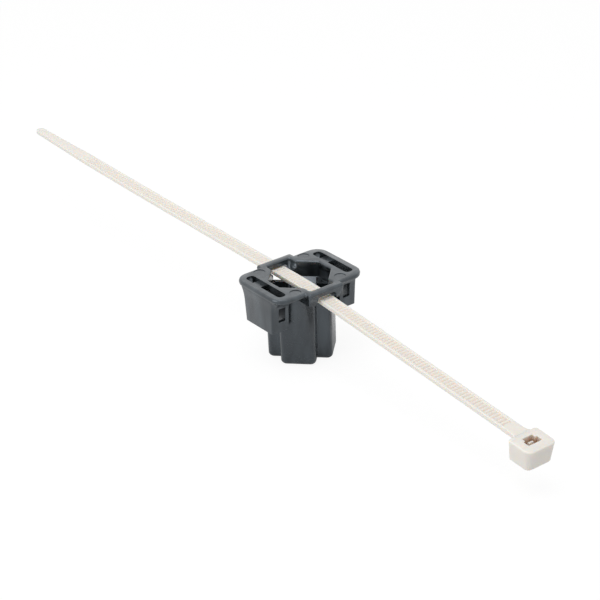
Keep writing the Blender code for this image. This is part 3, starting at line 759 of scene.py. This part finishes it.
        out = outer(0.0)
        into, under = radius_at(upper, centre, angles), radius_at(lower, centre, angles)
        arc = np.linspace(0.0, np.pi / 2.0, 6)
        for turn in arc:
            inset = self.head_taper + rim * (1.0 - math.sin(turn))
            add_level(outer(inset), -height + rim * (1.0 - math.cos(turn)))
        for share in np.linspace(0.1, 0.9, 6):
            inset = self.head_taper * (1.0 - share)
            add_level(outer(inset), -height + rim + share * (height - 2.0 * rim))
        for turn in arc:
            add_level(outer(rim * (1.0 - math.cos(turn))), -rim * (1.0 - math.sin(turn)))
        for share in (0.3, 0.6, 0.85):
            add_level(out - rim + (into + lip - out + rim) * share, 0.0)
        for turn in arc:
            add_level(into + lip * (1.0 - math.sin(turn)), -lip * (1.0 - math.cos(turn)))
        for deep in (1.5, 3.0, 4.5):
            add_level(into, -deep)
        add_level(under, -self.recess_depth)
        add_level(under, -height)
        add_level(under + 0.5 * (out - self.head_taper - rim - under), -height)
        distance, z = np.moveaxis(np.stack(levels, axis=1), -1, 0)
        ray = np.stack([np.cos(angles), np.sin(angles)], axis=-1)
        flat = centre + ray[:, None, :] * distance[..., None]
        points = np.concatenate([flat, z[..., None]], axis=-1)
        inward = distance < 0.5 * (into + out)[:, None]
        # painted shade: the passage darkens to the groove colour over its first millimetre down
        groove = np.clip(-z, 0.0, 1.0) * inward * self.passage_shade
        return grid_piece("tie_head", self.to_frame(points), groove, closed=True, sharp=50.0)

    def tongue(self) -> bpy.types.Object:
        """Build the locking tongue: its side profile carried across the passage.

        The profile leans from its root, low on the strap's side, up to a blunt tip in the
        passage, with two steps that catch the teeth. It is a little smaller at both sides,
        so the long edges are broken. Its corners are measured from the passage's middle
        towards the strap, and up from the head's upper face.

        Returns:
            The linked piece.
        """
        corners = [(2.45, -5.0), (2.45, -4.0), (1.0, -0.85), (0.4, -0.8), (0.3, -1.6),
                   (0.65, -2.2), (0.4, -2.9), (1.0, -3.5), (0.85, -5.0)]
        profile = rounded_outline(corners[::-1], [self.tongue_edge] * len(corners), 3)
        profile -= np.array([self.lock[0], 0.0])
        middle = profile.mean(axis=0)
        across = self.tongue_half * np.array([-1.0, -0.95, -0.85, 0.0, 0.85, 0.95, 1.0])
        share = np.array([0.86, 0.97, 1.0, 1.0, 1.0, 0.97, 0.86])
        flat = middle + (profile - middle)[None] * share[:, None, None]
        x = np.broadcast_to(across[:, None, None], (*flat.shape[:2], 1))
        points = np.concatenate([x, flat], axis=-1)
        # painted shade over the whole tongue, which sits down in the passage
        groove = np.full(points.shape[:2], self.tongue_shade)
        return grid_piece("tie_tongue", self.to_frame(points), groove)

    def build(self) -> list[bpy.types.Object]:
        """Build and dress the tie's pieces.

        Returns:
            The finished pieces.
        """
        finish = self.finish.material()
        pieces = [self.strap(), self.head_block(), self.tongue()]
        return [settle(piece, finish, self.node) for piece in pieces]


@dataclass(frozen=True)
class Lamp:
    """A square soft light: where it hangs and its side in millimetres, its power in watts."""

    name: str
    place: tuple[float, float, float]
    size: float
    power: float


@dataclass
class Studio:
    """The camera of the photograph, a pale floor and soft light."""

    lens: float = 108.0
    sensor: float = 36.0
    clip: tuple[float, float] = (0.01, 20.0)       # metres
    place: tuple[float, float, float] = (-275.89, -378.46, 258.81)
    azimuth: float = -36.07    # degrees, of the line back to the camera, from -Y towards +X
    elevation: float = 27.33   # degrees, of the same line above the floor
    roll: float = -2.38        # degrees, about the same line
    floor: float = 3000.0      # side
    floor_gap: float = 0.02    # it lies this far below the foot
    floor_base: float = 0.8    # its own white, linear
    floor_roughness: float = 0.9
    shadow: float = 0.15       # how much of the floor's own shading the camera sees
    mirrored: float = 0.12     # how white the floor is in the object's reflections
    white: float = 1.06        # strength at which the camera sees the floor, less its shadow
    ambient: float = 0.55      # strength of the world on rough surfaces
    aim: tuple[float, float, float] = (0.0, 0.0, 15.0)     # what the lamps face
    lamps: tuple[Lamp, ...] = (Lamp("overhead", (-120.0, -20.0, 640.0), 420.0, 1.7),
                               Lamp("side", (-640.0, 60.0, 200.0), 420.0, 0.9))

    def add_camera(self) -> None:
        """Set the camera: its axes follow azimuth and elevation, then roll about its line."""
        turn, rise, tilt = (math.radians(angle)
                            for angle in (self.azimuth, self.elevation, self.roll))
        back = np.array([math.sin(turn) * math.cos(rise), -math.cos(turn) * math.cos(rise),
                         math.sin(rise)])
        level = np.array([math.cos(turn), math.sin(turn), 0.0])
        upright = np.cross(back, level)
        right = math.cos(tilt) * level + math.sin(tilt) * upright
        up = -math.sin(tilt) * level + math.cos(tilt) * upright
        data = bpy.data.cameras.new("camera")
        data.lens = self.lens
        data.sensor_width = self.sensor
        data.clip_start, data.clip_end = self.clip
        bpy.context.scene.camera = set_up("camera", data, [right, up, back], self.place)

    def add_world(self) -> None:
        """Light the world white: full for the camera and reflections, softer on rough surfaces."""
        world = bpy.data.worlds.new("studio")
        bpy.context.scene.world = world
        world.use_nodes = True
        tree = world.node_tree
        tree.nodes.clear()
        path = add_node(tree, "ShaderNodeLightPath").outputs
        seen = add_node(tree, "ShaderNodeMath", {
            0: path["Is Camera Ray"], 1: path["Is Glossy Ray"]}, operation="MAXIMUM")
        clear = add_node(tree, "ShaderNodeMath", {
            0: seen.outputs[0], 1: path["Is Transmission Ray"]}, operation="MAXIMUM")
        strength = add_node(tree, "ShaderNodeMapRange", {
            "Value": clear.outputs[0], "To Min": self.ambient, "To Max": 1.0})
        sky = add_node(tree, "ShaderNodeBackground", {
            "Color": WHITE, "Strength": strength.outputs["Result"]})
        add_node(tree, "ShaderNodeOutputWorld", {"Surface": sky.outputs[0]})

    def add_floor(self) -> None:
        """Lay a white floor under the foot, whose shadow the camera sees only faintly."""
        half = self.floor * MM / 2.0
        corners = [(-half, -half, 0.0), (half, -half, 0.0), (half, half, 0.0), (-half, half, 0.0)]
        mesh = bpy.data.meshes.new("floor")
        mesh.from_pydata(corners, [], [(0, 1, 2, 3)])
        floor = bpy.data.objects.new("floor", mesh)
        floor.location.z = -self.floor_gap * MM
        bpy.context.scene.collection.objects.link(floor)
        base = (self.floor_base,) * 3
        material, shader = new_material("white_table", base)
        tree = material.node_tree
        shader.inputs["Base Color"].default_value = (*base, 1.0)
        shader.inputs["Roughness"].default_value = self.floor_roughness
        shader.inputs["Specular IOR Level"].default_value = 0.0
        path = add_node(tree, "ShaderNodeLightPath").outputs
        straight = add_node(tree, "ShaderNodeMath", {
            0: path["Is Camera Ray"], 1: 1.0 - self.shadow}, operation="MULTIPLY")
        bounced = add_node(tree, "ShaderNodeMath", {
            0: path["Is Glossy Ray"], 1: self.mirrored}, operation="MULTIPLY")
        seen = add_node(tree, "ShaderNodeMath", {
            0: straight.outputs[0], 1: bounced.outputs[0]}, operation="MAXIMUM")
        glow = add_node(tree, "ShaderNodeEmission", {"Color": WHITE, "Strength": self.white})
        mixed = add_node(tree, "ShaderNodeMixShader", {
            0: seen.outputs[0], 1: shader.outputs[0], 2: glow.outputs[0]})
        output = next(node for node in tree.nodes if node.type == "OUTPUT_MATERIAL")
        tree.links.new(mixed.outputs[0], output.inputs["Surface"])
        mesh.materials.append(material)

    def add_light(self, lamp: Lamp) -> None:
        """Hang a soft light that faces the aim.

        Args:
            lamp: the light's place and power.
        """
        data = bpy.data.lights.new(lamp.name, "AREA")
        data.shape = "SQUARE"
        data.size = lamp.size * MM
        data.energy = lamp.power
        back = np.array(lamp.place) - np.array(self.aim)
        back /= np.linalg.norm(back)
        right = np.cross([0.0, 0.0, 1.0], back)
        right /= np.linalg.norm(right)
        set_up(lamp.name, data, [right, np.cross(back, right), back], lamp.place)

    def build(self) -> None:
        """Set up the whole studio."""
        bpy.context.scene.view_settings.view_transform = "Standard"
        self.add_camera()
        self.add_world()
        self.add_floor()
        for lamp in self.lamps:
            self.add_light(lamp)


def main() -> None:
    """Build the mount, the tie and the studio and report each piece."""
    logging.basicConfig(level=logging.INFO, format="%(name)s: %(message)s")
    for piece in (StudMount().build(), *CableTie().build()):
        log.info("%s: %d faces", piece.name, len(piece.data.polygons))
    Studio().build()


if __name__ == "__main__":
    main()
